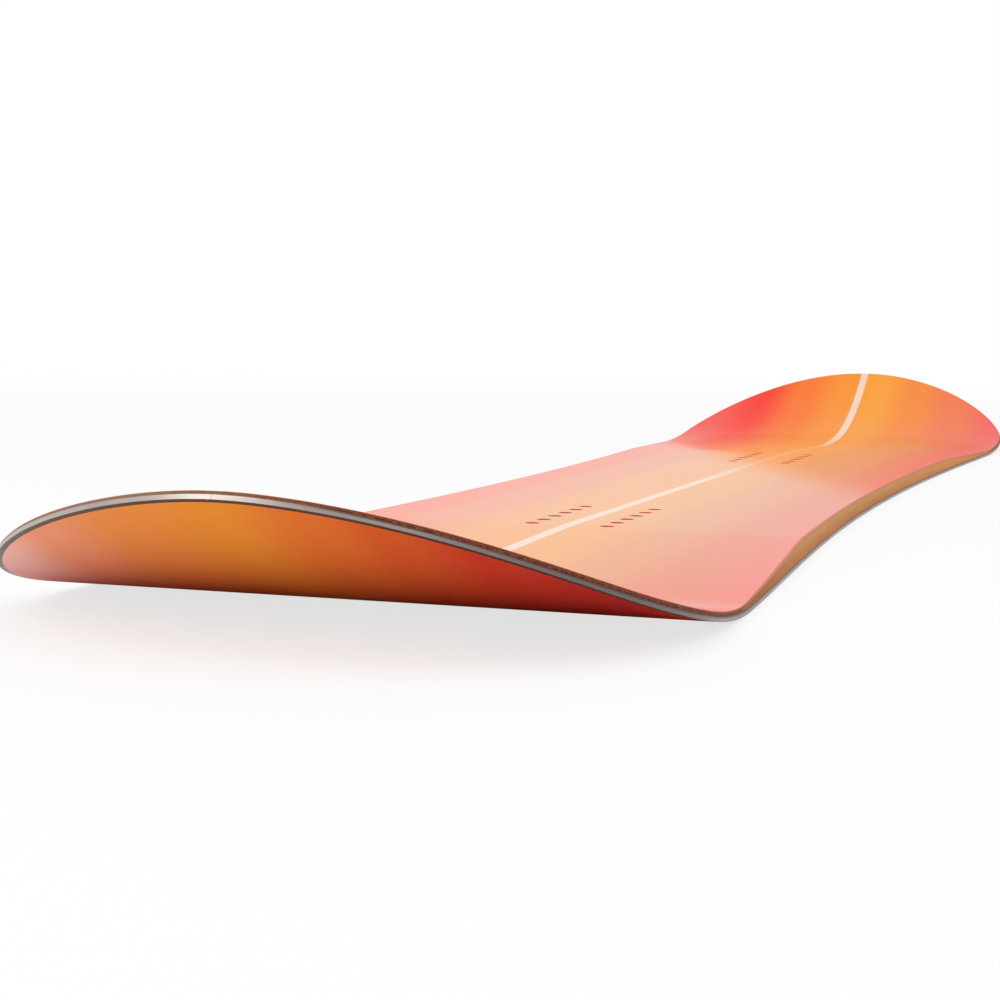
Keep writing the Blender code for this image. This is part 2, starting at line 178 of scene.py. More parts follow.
# %% The press line
tail_slow_arc, tail_slow_radius, tail_tight_radius = 0.112, 0.446, 0.288
nose_slow_arc, nose_slow_radius, nose_tight_radius = 0.076, 1.250, 0.395
flat_handle = (flat_end - flat_start) / 3


def arc(start, slope, length, radius):
    """End, slope there and handle length of an arc that bends upwards."""
    turned = slope + length / radius
    end = (start[0] + radius * (math.sin(turned) - math.sin(slope)),
           start[1] + radius * (math.cos(slope) - math.cos(turned)))
    return end, turned, 4 / 3 * math.tan(length / radius / 4) * radius


def tip_knots(contact, slow_arc, slow_radius, tight_radius):
    """Knots from the contact point outwards: place, slope, and the handles before and after."""
    joint, slope, slow_handle = arc((0, 0), 0, slow_arc, slow_radius)
    end, steepest, tight_handle = arc(joint, slope, contact - slow_arc, tight_radius)
    return [((0, 0), 0, flat_handle, slow_handle), (joint, slope, slow_handle, tight_handle),
            (end, steepest, tight_handle, tight_handle)]


tail = tip_knots(tail_contact, tail_slow_arc, tail_slow_radius, tail_tight_radius)
nose = tip_knots(nose_contact, nose_slow_arc, nose_slow_radius, nose_tight_radius)
tail_run, nose_run = tail[-1][0][0], nose[-1][0][0]
middle = (flat_start - tail_run + flat_end + nose_run) / 2
line_knots = [((flat_start - run - middle, rise), -slope, after, before)
              for (run, rise), slope, before, after in reversed(tail)]
line_knots += [((flat_end + run - middle, rise), slope, before, after)
               for (run, rise), slope, before, after in nose]
print("press line from", line_knots[0][0], "to", line_knots[-1][0])

# %% [markdown]
# A new Bezier curve has two knots, so four more are added for the six of the press line. The order
# of a knot's two handles matters: the left one points back towards the tail. Twist is measured
# from straight up, because a piece that follows the curve must not roll.

# %% The press line as a curve
press_line = add(bpy.ops.curve.primitive_bezier_curve_add, location=(0, 0, 0))
press_line.name = "press_line"
press_line.data.splines[0].bezier_points.add(len(line_knots) - 2)
for knot, ((x, z), slope, back, on) in zip(press_line.data.splines[0].bezier_points, line_knots):
    knot.handle_left_type = knot.handle_right_type = "FREE"
    knot.co = (x, 0, z)
    knot.handle_left = (x - back * math.cos(slope), 0, z - back * math.sin(slope))
    knot.handle_right = (x + on * math.cos(slope), 0, z + on * math.sin(slope))
press_line.data.resolution_u = 96
press_line.data.twist_mode = "Z_UP"
print("press line knots:", len(press_line.data.splines[0].bezier_points))

# %% [markdown]
# Two moves turn a flat layer into a finished one. Grinding leans the rim inwards, further the
# higher it is. Squeezing lowers what lies on the core where the core is planed thin, down to the
# thickness of a tip spacer. Both are a Displace modifier whose strength at each corner is a weight
# worked out from the corner's place.

# %% Grinding and squeezing
spacer_thickness = 0.0005
core_squeeze = core_top - core_low - spacer_thickness
tail_joint, tail_full = 0.193, 0.414
nose_full, nose_joint = 1.034, flat_end + 0.020


def shift(piece, direction, distance, share):
    """Moves each corner along a direction, by its own share of a distance."""
    weights = piece.vertex_groups.new(name="share")
    for corner in piece.data.vertices:
        weights.add([corner.index], share(corner.co), "REPLACE")
    mover = piece.modifiers.new("shift", "DISPLACE")
    mover.direction = direction
    mover.mid_level = 0
    mover.strength = distance
    mover.vertex_group = weights.name
    apply(piece, mover)
    piece.vertex_groups.remove(piece.vertex_groups["share"])


def planed_share(station):
    """0 where the core is full, 1 where only the tip spacer is left of it."""
    tail_share = (tail_full - station) / (tail_full - tail_joint)
    nose_share = (station - nose_full) / (nose_joint - nose_full)
    return min(max(tail_share, nose_share, 0), 1)


def squeeze_share(place):
    height_share = (place.z - core_low) / (core_top - core_low)
    return planed_share(place.x) * min(max(height_share, 0), 1)


# %% [markdown]
# The side of the board is ground after pressing: a bevel leans in from the core's foot up, and ends
# in a rounded rim at the topsheet. The rounding is small at the thin tips and larger between them.
# One function gives the inset at any corner, so that all layers which reach the side agree on it.

# %% The ground side
bevel_degrees = 34
bevel_slope = math.tan(math.radians(bevel_degrees))
rim_turn = math.radians(90 - bevel_degrees)
full_rim_radius, tip_rim_radius = 0.0035, 0.0005


def ground(place):
    """Inset of the board's side at a corner that isn't squeezed yet, with its rounded upper rim."""
    height = place.z - core_squeeze * squeeze_share(place)
    planed = planed_share(place.x)
    top = topsheet_top - core_squeeze * planed
    radius = full_rim_radius + (tip_rim_radius - full_rim_radius) * planed
    drop = top - height
    if drop >= radius * (1 - math.cos(rim_turn)):
        return max(height - core_low, 0) * bevel_slope
    centre = (top - core_low) * bevel_slope + radius * math.tan(rim_turn / 2)
    return centre - radius * math.sin(math.acos(1 - max(drop, 0) / radius))


# %% [markdown]
# Every layer starts as a tall stack of rings of the outline's shape, one ring for each corner of
# the layer's section. In a straight wall the corners' normals are level, so an inset is a move
# against them. After that each ring drops to its real height.

# %% Walls from rings
ring_spacing = 0.1


def ring_number(place):
    return round(place.z / ring_spacing) - 1


def rings(name, section):
    """A wall round the outline through a section, given as insets and heights."""
    piece = copy_of(outline, name)
    pick_corners(piece, lambda place: True)
    bpy.ops.transform.translate(value=(0, 0, ring_spacing))
    for corner in section[1:]:
        bpy.ops.mesh.extrude_region_move(TRANSFORM_OT_translate={"value": (0, 0, ring_spacing)})
    bpy.ops.mesh.select_all(action="SELECT")
    bpy.ops.mesh.normals_make_consistent(inside=False)
    close_edit()

    def drawn_in(place):
        inset, height = section[ring_number(place)]
        return inset(Vector((place.x, place.y, height))) if callable(inset) else inset

    most = max(drawn_in(corner.co) for corner in piece.data.vertices)
    if most > 0:
        shift(piece, "NORMAL", -most, lambda place: drawn_in(place) / most)
    for number, (inset, height) in enumerate(section):
        pick_corners(piece, lambda place: ring_number(place) == number)
        bpy.ops.transform.translate(value=(0, 0, height - ring_spacing * (number + 1)))
        close_edit()
    return piece


# %% [markdown]
# A wall is open below and above. A sheet is closed by a flat cap on either rim. A band round the rim
# is closed by ending on the ring that it started from, and merging the two.

# %% Sheets and bands
def merged(piece):
    pick_corners(piece, lambda place: True)
    bpy.ops.mesh.remove_doubles(threshold=merge_distance)
    bpy.ops.mesh.normals_make_consistent(inside=False)
    close_edit()
    return piece


def sheet(name, section):
    piece = rings(name, section)
    rim_size = len(outline.data.vertices)
    for first in (0, len(piece.data.vertices) - rim_size):
        rim = {corner.co.copy().freeze() for corner in piece.data.vertices[first:first + rim_size]}
        pick_corners(piece, lambda place: place.copy().freeze() in rim)
        bpy.ops.mesh.edge_face_add()
        close_edit()
    return merged(piece)


def band(name, section):
    return merged(rings(name, section + section[:1]))


# %% [markdown]
# A cut with a plane does the rest of the flat work: it parts a band into a left and a right piece,
# ends the sidewalls where the tip spacers begin, and scores a piece across so that it can bend.

# %% Cutting and scoring
def cut(piece, place, away):
    """Removes what lies on the side that the direction points to, and closes the cut."""
    pick_corners(piece, lambda corner: True)
    bpy.ops.mesh.bisect(plane_co=place, plane_no=away, use_fill=True, clear_outer=True,
                        threshold=merge_distance)
    close_edit()
    return piece


def score(piece, stations):
    pick_corners(piece, lambda corner: True)
    for station in stations:
        bpy.ops.mesh.select_all(action="SELECT")
        bpy.ops.mesh.bisect(plane_co=(station, 0, 0), plane_no=(1, 0, 0),
                            threshold=merge_distance)
    close_edit()


def steps(start, end, most):
    """Evenly spaced stations between two ends, at most so far apart."""
    count = math.ceil((end - start) / most)
    return [start + (end - start) * number / count for number in range(1, count)]


# %% [markdown]
# A Curve modifier closes the press: it carries every corner of a flat piece along the press line.
# It can only bend where there are corners, so the tips are scored closely and the flat part hardly.

# %% Pressing
tip_pitch, flat_pitch = 0.006, 0.05
score_stations = (steps(0, flat_start, tip_pitch) + [flat_start]
                  + steps(flat_start, flat_end, flat_pitch) + [flat_end]
                  + steps(flat_end, board_length, tip_pitch)
                  + [tail_full, nose_full])
print("scored at", len(score_stations), "stations")


def press(piece, squeezed=True):
    """Squeezes a flat piece over the planed core and bends it along the press line."""
    low = min(corner.co.x for corner in piece.data.vertices)
    high = max(corner.co.x for corner in piece.data.vertices)
    score(piece, [station for station in score_stations
                  if low + glue_line < station < high - glue_line])
    if squeezed:
        shift(piece, "Z", -core_squeeze, squeeze_share)
    bend = piece.modifiers.new("press", "CURVE")
    bend.object = press_line
    bend.deform_axis = "POS_X"
    apply(piece, bend)
    print(piece.name, "pressed:", len(piece.data.polygons), "faces")
    return piece


# %% [markdown]
# A finish is a set of shader nodes. Made by hand in the node editor, it is a web of links. In code,
# one small class keeps the maths readable: it stands for the value on a socket and knows how to
# add, subtract and multiply. A second class makes nodes, all of them by one method.

# %% Values and nodes
class Value:
    """An output socket. Arithmetic on it adds Math nodes."""

    def __init__(self, nodes, socket):
        self.nodes = nodes
        self.socket = socket

    def math(self, operation, first, second=0.0):
        return self.nodes.node("ShaderNodeMath", {"operation": operation}, {0: first, 1: second})

    def __add__(self, other):
        return self.math("ADD", self, other)

    def __radd__(self, other):
        return self.math("ADD", other, self)

    def __sub__(self, other):
        return self.math("SUBTRACT", self, other)

    def __rsub__(self, other):
        return self.math("SUBTRACT", other, self)

    def __mul__(self, other):
        return self.math("MULTIPLY", self, other)

    def __rmul__(self, other):
        return self.math("MULTIPLY", other, self)

    def __abs__(self):
        return self.math("ABSOLUTE", self)


class Nodes:
    """The nodes of a finish or of the room."""

    def __init__(self, owner):
        owner.use_nodes = True
        self.tree = owner.node_tree

    def feed(self, socket, value):
        """Links a value to a socket, or sets a plain number or colour on it."""
        if isinstance(value, Value):
            self.tree.links.new(value.socket, socket)
        else:
            socket.default_value = value

    def node(self, kind, settings, sockets, output=0):
        """Adds a node with its settings, feeds its sockets and gives one of its outputs."""
        made = self.tree.nodes.new(kind)
        for name, setting in settings.items():
            if name == "stops":
                ramp = made.color_ramp
                ramp.interpolation = "EASE"
                for number, (position, colour) in enumerate(setting):
                    if number > 1:
                        ramp.elements.new(position)
                    ramp.elements[number].position = position
                    ramp.elements[number].color = colour
            else:
                setattr(made, name, setting)
        for name, value in sockets.items():
            self.feed(made.inputs[name], value)
        return Value(self, made.outputs[output])

    def ease(self, value, start, end):
        """0 before the start, 1 past the end, and soft between them."""
        return self.node("ShaderNodeMapRange", {"interpolation_type": "SMOOTHSTEP"},
                         {"Value": value, "From Min": start, "From Max": end})


# %% [markdown]
# Every finish below is one Principled shader. What is the same all over is set on the shader's own
# sockets. What changes over the surface is worked out from the place on the board, in metres from
# its middle, so that patterns keep their real size.

# %% Finishes
# Colour ramps across the board reach this far to both sides of its centre line
spray_reach = 0.15


class Finish(Nodes):
    """One material."""

    def __init__(self, name, plain):
        self.material = bpy.data.materials.new(name)
        super().__init__(self.material)
        self.shader = self.tree.nodes["Principled BSDF"]
        for socket, value in plain.items():
            self.set(socket, value)
        self.place = self.node("ShaderNodeTexCoord", {}, {}, "Object")

    def set(self, name, value):
        self.feed(self.shader.inputs[name], value)

    def axes(self, letters):
        """The places of the shaded point along the named axes."""
        return [self.node("ShaderNodeSeparateXYZ", {}, {0: self.place}, axis) for axis in letters]

    def facing(self, axis):
        """How far the surface faces along an axis, from -1 to 1."""
        normal = self.node("ShaderNodeNewGeometry", {}, {}, "Normal")
        return self.node("ShaderNodeSeparateXYZ", {}, {0: normal}, axis)

    def stretched(self, scale):
        return self.node("ShaderNodeMapping", {}, {"Vector": self.place, "Scale": scale})

    def noise(self, where, scale, detail=2.0):
        return self.node("ShaderNodeTexNoise", {},
                         {"Vector": where, "Scale": scale, "Detail": detail})

    def airbrush(self, across, *coats):
        """Colours side by side from the right rim to the left, each with its distance in metres."""
        share = (across + spray_reach) * (0.5 / spray_reach)
        stops = [((side + spray_reach) * 0.5 / spray_reach, colour) for side, colour in coats]
        return self.node("ShaderNodeValToRGB", {"stops": stops}, {0: share})

    def blend(self, share, first, second):
        return self.node("ShaderNodeMix", {"data_type": "RGBA"}, {0: share, 6: first, 7: second}, 2)

    def bump(self, height, depth):
        self.set("Normal", self.node("ShaderNodeBump", {},
                                     {"Strength": 1.0, "Distance": depth, "Height": height}))


def paint(red, green, blue):
    """A colour as a paint chart gives it, 0 to 255, in the linear light that shaders use."""
    def linear(part):
        part = part / 255
        return part / 12.92 if part <= 0.04045 else ((part + 0.055) / 1.055) ** 2.4
    return linear(red), linear(green), linear(blue), 1.0


# %% [markdown]
# The deck's print is airbrushed in three fields, each a colour ramp across the board: amber down
# the middle with coral and red at the sides. The first field, from the tail on, is the palest. The
# second begins past a line that runs slantwise over the board, and the nose has the strongest
# colours. A cream stripe follows the centre line and fades where the second field lies. A pair of
# distances says where each change starts and ends.

# %% Colours of the deck
slant, second_field_edge = 2.06, (0.10, 0.26)
nose_field_edge = (0.46, 0.62)
stripe_edge, stripe_fades, stripe_returns = (0.0037, 0.0029), (-0.02, 0.18), (0.44, 0.56)
cream = paint(250, 218, 196)


def deck_colours(finish, x, y, in_second_field):
    across = y + 0.02 * (finish.noise(finish.place, 2.2) - 0.5)
    first_field = finish.airbrush(
        across, (-0.135, paint(244, 122, 108)), (-0.100, paint(235, 132, 98)),
        (-0.060, paint(236, 154, 102)), (-0.020, paint(246, 168, 90)), (0.030, paint(247, 167, 98)),
        (0.075, paint(243, 150, 112)), (0.100, paint(250, 131, 96)), (0.130, paint(250, 118, 94)))
    second_field = finish.airbrush(
        across, (-0.117, paint(242, 114, 92)), (-0.094, paint(240, 130, 88)),
        (-0.075, paint(239, 147, 88)), (-0.045, paint(241, 155, 86)), (-0.015, paint(253, 162, 72)),
        (0.020, paint(254, 156, 58)), (0.050, paint(253, 146, 62)), (0.070, paint(251, 122, 70)),
        (0.100, paint(253, 106, 76)), (0.128, paint(250, 116, 94)))
    nose_field = finish.airbrush(
        across, (-0.130, paint(248, 100, 92)), (-0.090, paint(248, 124, 78)),
        (-0.050, paint(252, 142, 60)), (-0.015, paint(255, 164, 54)), (0.015, paint(255, 152, 48)),
        (0.055, paint(255, 124, 42)), (0.094, paint(255, 58, 40)), (0.132, paint(252, 86, 80)))
    colour = finish.blend(in_second_field, first_field, second_field)
    colour = finish.blend(finish.ease(x, *nose_field_edge), colour, nose_field)
    stripe = finish.ease(abs(y), *stripe_edge)
    faded = finish.ease(x, *stripe_fades) - finish.ease(x, *stripe_returns)
    return finish.blend(stripe * (1 - 0.8 * faded), colour, cream)


# %% [markdown]
# The print sits under a clear gloss, a thin coat on the shader. Seen nearly edge on, the coat
# mirrors the white room, which washes the first field out. Past the slanted line it stays weak. At
# the rounded rim the sheet is ground away bit by bit: its colour fades into that of the sidewall,
# and round the tips into the dyed rim, which is redder on the right. On the left it is painted
# paler, as painted light.

# %% Deck print
# Where painted light makes the tip rims paler on the left
left_painted_light = (-0.06, 0.05)
ground_tilt, deck_rim_ends = (0.10, 0.62), (0.60, 0.50)
weak_gloss, added_gloss, edge_on = 0.12, 0.33, (0.73, 0.91)


def deck_print():
    finish = Finish("deck_print", {"Coat Roughness": 0.12, "Specular IOR Level": 0.05})
    x, y = finish.axes("XY")
    in_second_field = finish.ease(x - slant * y, *second_field_edge)
    colour = deck_colours(finish, x, y, in_second_field)
    ground_through = finish.ease(abs(finish.facing("Y")), *ground_tilt)
    # Dark red dye at the tip rim, painted paler on the left as painted light
    rim_dye_and_painted_light = finish.blend(finish.ease(y, *left_painted_light), paint(128, 16, 16), paint(150, 112, 100))
    tip_rim = finish.blend(0.5, colour, rim_dye_and_painted_light)
    below = finish.blend(finish.ease(abs(x), *deck_rim_ends), tip_rim, paint(196, 122, 84))
    finish.set("Base Color", finish.blend(ground_through, colour, below))
    grazing = finish.ease(finish.node("ShaderNodeLayerWeight", {}, {}, "Facing"), *edge_on)
    gloss = weak_gloss + added_gloss * grazing * (1 - in_second_field)
    finish.set("Coat Weight", gloss * (1 - ground_through))
    finish.bump(finish.noise(finish.place, 900), 0.000004)
    return finish.material


# %% [markdown]
# A hole cuts through the print, and its wall shows the sheet's colour, painted deeper red as shade
# inside the hole. The drill turns, so the noise is stretched level: it varies fast with height and
# slowly round the hole.

# %% Drilled wall
def deck_cut():
    finish = Finish("deck_cut", {"Specular IOR Level": 0.3})
    swirl = finish.noise(finish.stretched((300, 300, 5000)), 1.0)
    # Deep red: the sheet's colour with painted shade inside the hole
    finish.set("Base Color", finish.blend(swirl, paint(196, 38, 18), paint(236, 74, 36)))
    return finish.material


# %% [markdown]
# The running base is dyed polyethylene, ground on a stone and waxed. The stone leaves fine lines
# along the board, so the noise is stretched a lot across it. The dye runs from deep red on the
# right through amber to pink on the left, lightened at the left rim by painted light. It is darker
# between the tips, partly dye and partly painted shade where the base comes down to the floor.

# %% Running base
dye_and_shade_ends = (0.70, 0.56)


def running_base():
    finish = Finish("running_base", {"Specular IOR Level": 0.03})
    x, y = finish.axes("XY")
    across = y + 0.02 * (finish.noise(finish.place, 3.0) - 0.5)
    # The palest stop, pink at the left rim, is lighter than the dye: painted light
    tips = finish.airbrush(
        across, (-0.120, paint(186, 26, 20)), (-0.085, paint(208, 54, 30)),
        (-0.055, paint(222, 92, 36)), (-0.030, paint(234, 118, 44)), (0.005, paint(242, 150, 50)),
        (0.045, paint(242, 148, 72)), (0.080, paint(248, 160, 122)), (0.115, paint(255, 206, 197)))
    between = finish.airbrush(
        across, (-0.120, paint(178, 22, 16)), (-0.060, paint(196, 50, 20)),
        (0.000, paint(214, 84, 22)), (0.060, paint(212, 66, 28)), (0.120, paint(232, 110, 92)))
    # Darker towards the floor: partly dye, partly painted shade
    colour = finish.blend(finish.ease(abs(x), *dye_and_shade_ends), tips, between)
    lines = finish.noise(finish.stretched((3, 900, 3)), 1.0, 3.0)
    colour = finish.blend(finish.ease(lines, 0.2, 0.9) * 0.05, colour, paint(250, 200, 170))
    finish.set("Base Color", colour)
    finish.set("Roughness", 0.42 + 0.16 * lines)
    finish.bump(lines, 0.000004)
    return finish.material


# %% [markdown]
# The edges are hardened steel, ground bright on their outer face. Grinding runs along the edge, so
# the scratches do too, and they spread the light into a soft band. The face towards the snow is
# painted much darker, as painted shade. The right side is painted darker too, most of all round
# the tail, as painted shade. On that side the top of the outer face is a brown, not metallic line
# that fades towards the centre line. One function makes both finishes, the steel bare or with the
# brown line.

# %% Edge steel
# Where the right side and the tail are painted darker, as painted shade
painted_shade_side, painted_shade_tail = (-0.03, -0.075), (-0.54, -0.62)
brown_line_side, snow_side = (-0.01, -0.065), (-0.55, -0.75)


def edge_steel(name, brown_topped):
    finish = Finish(name, {"Metallic": 1.0})
    x, y = finish.axes("XY")
    wear = finish.noise(finish.place, 14.0, 3.0)
    steel = finish.blend(finish.ease(wear, 0.35, 0.7), paint(192, 180, 173), paint(162, 150, 143))
    # Painted shade: the right side, most of all round the tail, is painted darker
    painted_shade_right = finish.ease(y, *painted_shade_side) * (0.35 + 0.65 * finish.ease(x, *painted_shade_tail))
    colour = finish.blend(0.1 + 0.55 * painted_shade_right, steel, paint(70, 62, 60))
    # A brown, not metallic line on the upper outer face on the right, fading towards the centre line
    if brown_topped:
        brown_share = finish.ease(y, *brown_line_side)
        colour = finish.blend(brown_share, colour, paint(84, 44, 32))
        finish.set("Metallic", 1 - brown_share)
    # Painted shade: the face towards the snow is painted much darker
    painted_shade_below = finish.ease(finish.facing("Z"), *snow_side)
    finish.set("Base Color", finish.blend(painted_shade_below, colour, paint(92, 82, 70)))
    scratches = finish.noise(finish.stretched((30, 30, 6000)), 1.0, 3.0)
    finish.set("Roughness", 0.22 + 0.22 * scratches)
    finish.bump(scratches, 0.000006)
    return finish.material


# %% [markdown]
# Sidewalls are a tan plastic, deeper at the foot. A cutter shapes them after the board is pressed,
# which leaves fine lines along the wall and a slight mottle. They are browner towards the tail and
# more golden towards the nose. The tip spacers are the same plastic in dark brown, partly dye and
# partly painted shade, and painted light makes them paler on the left. One function with three
# colours makes both.

# %% Sidewall plastic
brown_tail, golden_nose, painted_light_tips = (-0.30, -0.60), (0.02, 0.25), (0.60, 0.66)
# A pale brown that stands for painted light on the left of the tips
painted_light_brown = paint(176, 140, 120)


def sidewall_plastic(name, foot, upper, mottled):
    finish = Finish(name, {"Specular IOR Level": 0.03})
    x, y, z = finish.axes("XYZ")
    colour = finish.blend(finish.ease(z, core_low + glue_line, upper_glass_low), foot, upper)
    mottle = finish.noise(finish.stretched((18, 18, 120)), 1.0, 4.0)
    colour = finish.blend(finish.ease(mottle, 0.35, 0.8) * 0.3, colour, mottled)
    colour = finish.blend(finish.ease(x, *brown_tail) * 0.7, colour, paint(132, 76, 50))
    colour = finish.blend(finish.ease(x, *golden_nose) * 0.5, colour, paint(216, 138, 68))
    # Painted light: paler on the left of the tips
    painted_light = finish.ease(y, *left_painted_light) * finish.ease(abs(x), *painted_light_tips)
    finish.set("Base Color", finish.blend(painted_light * 0.6, colour, painted_light_brown))
    lines = finish.noise(finish.stretched((12, 12, 3500)), 1.0, 3.0)
    finish.set("Roughness", 0.42 + 0.18 * lines)
    finish.bump(lines, 0.00001)
    return finish.material


# %% [markdown]
# The cut rim of the glass cloth shows its yarn ends round the tips: short dark dashes in a brown
# resin line, painted paler on the left as painted light. Along the sides it is ground together with
# the sidewall and takes on its colour. The dashes are noise that is finer along and across than it
# is upwards.

# %% Fibreglass rim
yarn_ends = (0.58, 0.46)


def fibreglass(name, along_sides):
    finish = Finish(name, {"Specular IOR Level": 0.15})
    x, y = finish.axes("XY")
    yarn = finish.noise(finish.stretched((700, 700, 90)), 1.0, 2.0)
    at_tips = finish.blend(finish.ease(yarn, 0.42, 0.6), paint(84, 36, 26), paint(142, 68, 48))
    # Painted light: paler on the left of the tips
    at_tips = finish.blend(finish.ease(y, *left_painted_light) * 0.6, at_tips, painted_light_brown)
    finish.set("Base Color", finish.blend(finish.ease(abs(x), *yarn_ends), at_tips, along_sides))
    finish.bump(yarn, 0.00002)
    return finish.material


# %% [markdown]
# Inserts are turned from stainless steel. Turning leaves fine rings round them, so the noise
# changes fast with height and slowly round the piece, and it also drives the shine.

# %% Insert steel
def insert_steel():
    finish = Finish("insert_steel", {"Metallic": 1.0})
    turning = finish.noise(finish.stretched((60, 60, 3000)), 1.0)
    finish.set("Base Color", finish.blend(turning, paint(150, 142, 136), paint(190, 184, 178)))
    finish.set("Roughness", 0.12 + 0.12 * turning)
    return finish.material


# %% [markdown]
# The base and the lower glass come first. The base lies inside the steel edges. The lower glass
# reaches the rim above them, and steps down to the base between their tabs, so its section has a
# foot. Each piece stands for a node of the model, which it then hides.

# %% Base and lower glass
base_inset = edge_width + glue_line
foot_inset = 0.0102


def dress(piece, material, slot, *nodes):
    """Gives a finished piece its finish, and lets it stand for its nodes of the model."""
    piece.data.materials.append(material)
    pick(piece)
    bpy.ops.object.shade_smooth_by_angle(angle=math.radians(30))
    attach(piece, "root")
    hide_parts(*nodes)


side_plastic = sidewall_plastic("side_plastic", paint(184, 110, 52), paint(194, 142, 86),
                                paint(206, 150, 92))
# The tip spacers' dark brown is partly dye and partly painted shade
tip_plastic = sidewall_plastic("tip_plastic", paint(84, 36, 26), paint(104, 46, 34),
                               paint(120, 62, 44))
base_piece = press(sheet("running_base", [(base_inset, 0), (base_inset, base_top)]), squeezed=False)
dress(base_piece, running_base(), "base", "base_sheet")
lower_glass = press(sheet("glass_under_core", [
    (foot_inset, tab_low), (foot_inset, lower_glass_low), (0, lower_glass_low),
    (0, lower_glass_top)]))
dress(lower_glass, fibreglass("glass_line", paint(150, 92, 56)), "fibreglass",
      "lower_fibreglass")

# %% [markdown]
# Wood would splinter in the thin tips, so a plate of plastic takes its place there. Each plate is
# the end of a whole sheet. Its section has only two corners, because the squeeze makes it thin.

# %% Tip spacers
for end, joint, away in (("tail", tail_joint - glue_line / 2, 1),
                         ("nose", nose_joint + glue_line / 2, -1)):
    plate = sheet(end + "_tip_plate", [(0, core_low), (ground, core_top)])
    cut(plate, (joint, 0, 0), (away, 0, 0))
    dress(press(plate), tip_plastic, "sidewall_plastic", end + "_spacer")

# %% [markdown]
# Binding screws go through holes in the topsheet into threaded inserts, which stand in two packs
# of two rows. The holes are drilled while a sheet is flat: one bit for each insert, joined to one
# drill, and a Boolean modifier takes it away. The upper glass is drilled a little wider than the
# barrel of an insert, which comes up through it.

# %% Drilling the upper glass
row_spacing, insert_pitch, inserts_in_row = 0.040, 0.020, 6
pack_stations = {"tail": 0.474, "nose": 0.974}
pack_half = insert_pitch * (inserts_in_row - 1) / 2
barrel_hole_radius = 0.00485


def insert_places():
    """Name, station and side of every insert."""
    for pack, centre in pack_stations.items():
        for side, sign in (("left", 1), ("right", -1)):
            for number in range(inserts_in_row):
                station = centre - pack_half + number * insert_pitch
                yield f"insert_{pack}_{side}_{number + 1}", station, sign * row_spacing / 2


def drilled(piece, low, high, low_radius, high_radius):
    """Drills a flat piece at every insert, between two heights, straight or as a cone."""
    bits = [add(bpy.ops.mesh.primitive_cone_add, vertices=32, radius1=low_radius,
                radius2=high_radius, depth=high - low, location=(station, side, (low + high) / 2))
            for name, station, side in insert_places()]
    pick(*bits)
    bpy.ops.object.join()
    drill = piece.modifiers.new("drill", "BOOLEAN")
    drill.object = bits[0]
    apply(piece, drill)
    bpy.data.objects.remove(bits[0], do_unlink=True)
    return piece


upper_glass = sheet("glass_over_core", [(ground, upper_glass_low), (ground, upper_glass_top)])
drilled(upper_glass, 0, 2 * topsheet_top, barrel_hole_radius, barrel_hole_radius)
dress(press(upper_glass), fibreglass("glass_rim", paint(204, 130, 84)), "fibreglass",
      "upper_fibreglass")

# %% [markdown]
# The topsheet is made like the glass under it, with more rings for its rounded rim, which lie
# closer together towards the top. Its holes are sunk a little with a conical bit. The cut walls get
# a finish of their own: they are the steep faces near the rows, far from the bent tips.

# %% The printed deck
mouth_radius = 0.0034
sink_depth, sink_flare = 0.0003, 3
steepness_limit, packs_reach = 0.9, 0.4
rim_drops = (0.22, 0.11, 0.04, 0.01, 0)

deck = sheet("printed_deck", [(ground, topsheet_low)] + [
    (ground, topsheet_top - drop * millimetre) for drop in rim_drops])
drilled(deck, 0, 2 * topsheet_top, mouth_radius, mouth_radius)
drilled(deck, topsheet_top - sink_depth, topsheet_top + sink_depth,
        mouth_radius, mouth_radius + sink_flare * sink_depth)
dress(press(deck), deck_print(), "topsheet", "topsheet")
deck.data.materials.append(deck_cut())
for face in deck.data.polygons:
    by_a_row = abs(face.center.y) < row_spacing and abs(face.center.x) < packs_reach
    if by_a_row and abs(face.normal.z) < steepness_limit:
        face.material_index = 1

# %% [markdown]
# An insert is a steel flange with a barrel on it, drilled blind for an M6 screw. It is drawn up
# from a disc: inset and extrude for the barrel, then again for the bore. A small inset that also
# drops makes the chamfer at the mouth.

# %% One insert
barrel_radius, flange_radius, flange_thickness = 0.00475, 0.008, 0.0008
insert_height = upper_glass_top - core_low
drill_radius, thread_radius = 0.0025, 0.003

insert = add(bpy.ops.mesh.primitive_cylinder_add, vertices=40, radius=flange_radius,
             depth=flange_thickness, location=(0, 0, core_low + flange_thickness / 2))
bpy.ops.object.transform_apply(location=True)
top_face = max(insert.data.polygons,
               key=lambda face: (round(face.center.z, 6), len(face.vertices))).index
pick_parts(insert, "FACE", lambda face: face.index == top_face)
bpy.ops.mesh.inset(thickness=flange_radius - barrel_radius)
bpy.ops.mesh.extrude_region_move(
    TRANSFORM_OT_translate={"value": (0, 0, insert_height - flange_thickness)})
bpy.ops.mesh.inset(thickness=barrel_radius - thread_radius)
bpy.ops.mesh.inset(thickness=thread_radius - drill_radius)
bpy.ops.transform.translate(value=(0, 0, drill_radius - thread_radius))
bpy.ops.mesh.extrude_region_move(
    TRANSFORM_OT_translate={"value": (0, 0, 2 * flange_thickness - insert_height)})
close_edit()
print("drilled insert:", len(insert.data.polygons), "faces")

# %% [markdown]
# The thread is cut like a real one, by a tap. A triangle swept along a helix by a Screw modifier is
# the tap, and it cuts its groove out of the bore. The last turn runs out above the mouth.

# %% The tap, and its cut
thread_pitch, thread_turns, groove_size = 0.001, 6, 0.00055
thread_start = core_low + insert_height - thread_turns * thread_pitch + 0.7 * thread_pitch

